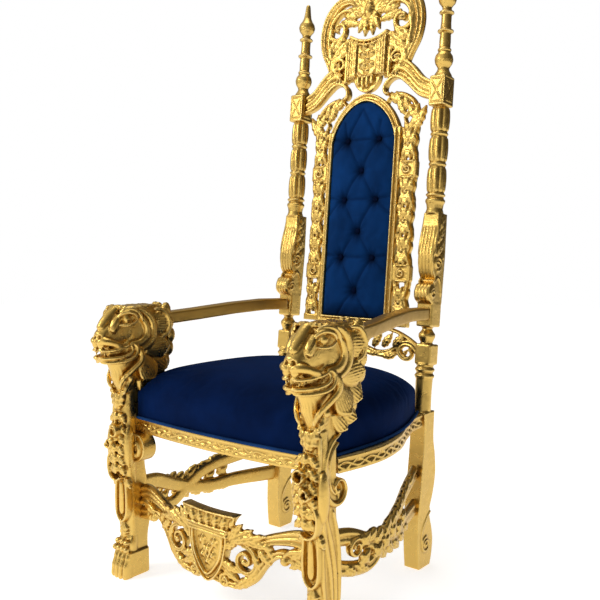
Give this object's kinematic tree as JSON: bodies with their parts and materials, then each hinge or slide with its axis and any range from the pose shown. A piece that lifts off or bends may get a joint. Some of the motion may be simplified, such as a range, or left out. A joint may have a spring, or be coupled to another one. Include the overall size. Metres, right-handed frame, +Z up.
{
  "type": "throne",
  "caption": "Tall carved and gilded armchair with lion heads on the front legs, a pierced arched back, a tufted pad and a domed blue seat.",
  "frame": {"origin": "on the floor under the middle of the throne's width and depth", "axes": "+X across the throne, toward the nodes named right; +Y from the front of the seat toward its back; +Z up"},
  "size_m": [0.8248, 0.8658, 1.8473],
  "materials": {
    "gilded_wood": "carved mahogany under warm satin gold leaf",
    "velvet": "deep navy velvet over padding"
  },
  "bodies": {
    "root": {"front_leg_left": "gilded_wood", "front_leg_right": "gilded_wood", "rear_post_left": "gilded_wood", "rear_post_right": "gilded_wood", "armrest_left": "gilded_wood", "armrest_right": "gilded_wood", "side_seat_rail_left": "gilded_wood", "side_seat_rail_right": "gilded_wood", "side_stretcher_left": "gilded_wood", "side_stretcher_right": "gilded_wood", "front_seat_rail": "gilded_wood", "rear_seat_rail": "gilded_wood", "front_stretcher": "gilded_wood", "crest_rail": "gilded_wood", "back_frame": "gilded_wood", "lower_back_rail": "gilded_wood", "seat_cushion": "velvet", "back_pad": "velvet", "back_panel": "velvet"}
  },
  "joints": []
}
